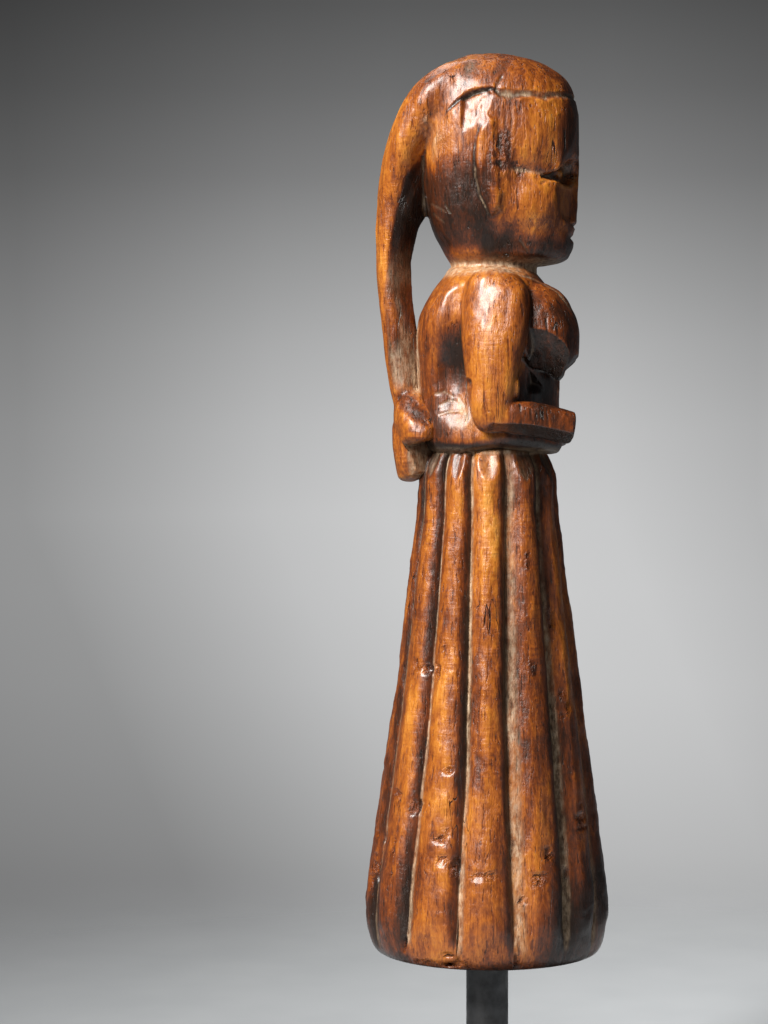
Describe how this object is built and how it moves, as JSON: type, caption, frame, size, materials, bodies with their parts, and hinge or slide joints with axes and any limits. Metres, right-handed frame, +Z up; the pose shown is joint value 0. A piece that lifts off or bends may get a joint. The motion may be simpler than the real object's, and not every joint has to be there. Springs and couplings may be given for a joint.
{
  "type": "fertility doll",
  "caption": "Carved hardwood doll with a fluted bell skirt, forearms held forward, a capped head and an arching hair tail, standing on a steel post and plate.",
  "frame": {"origin": "centre of the felt's underside, on the post's axis", "axes": "+Z up along the post, the doll faces -Y, its left hand is at +X"},
  "size_m": [0.09, 0.09, 0.2663],
  "materials": {
    "carved_wood": "oil-polished and handled, dusty in the grooves",
    "leather": "plain vegetable-tanned",
    "black_steel": "matt black",
    "black_plate": "matt black",
    "screw_steel": "zinc plated",
    "felt": "pressed wool felt"
  },
  "bodies": {
    "stand": {"felt_sheet": "felt", "base_plate": "black_plate", "base_screw": "screw_steel", "post": "black_steel"},
    "seat": {"seat_washer": "leather"},
    "figure": {"carved_figure": "carved_wood"}
  },
  "joints": [
    {"name": "figure_turn", "type": "hinge", "parent": "stand", "child": "seat", "pos_m": [0, 0, 0.0515], "axis": [0, 0, 1], "continuous": true},
    {"name": "figure_lift", "type": "slide", "parent": "seat", "child": "figure", "axis": [0, 0, 1], "range_m": [0, 0.05]}
  ]
}
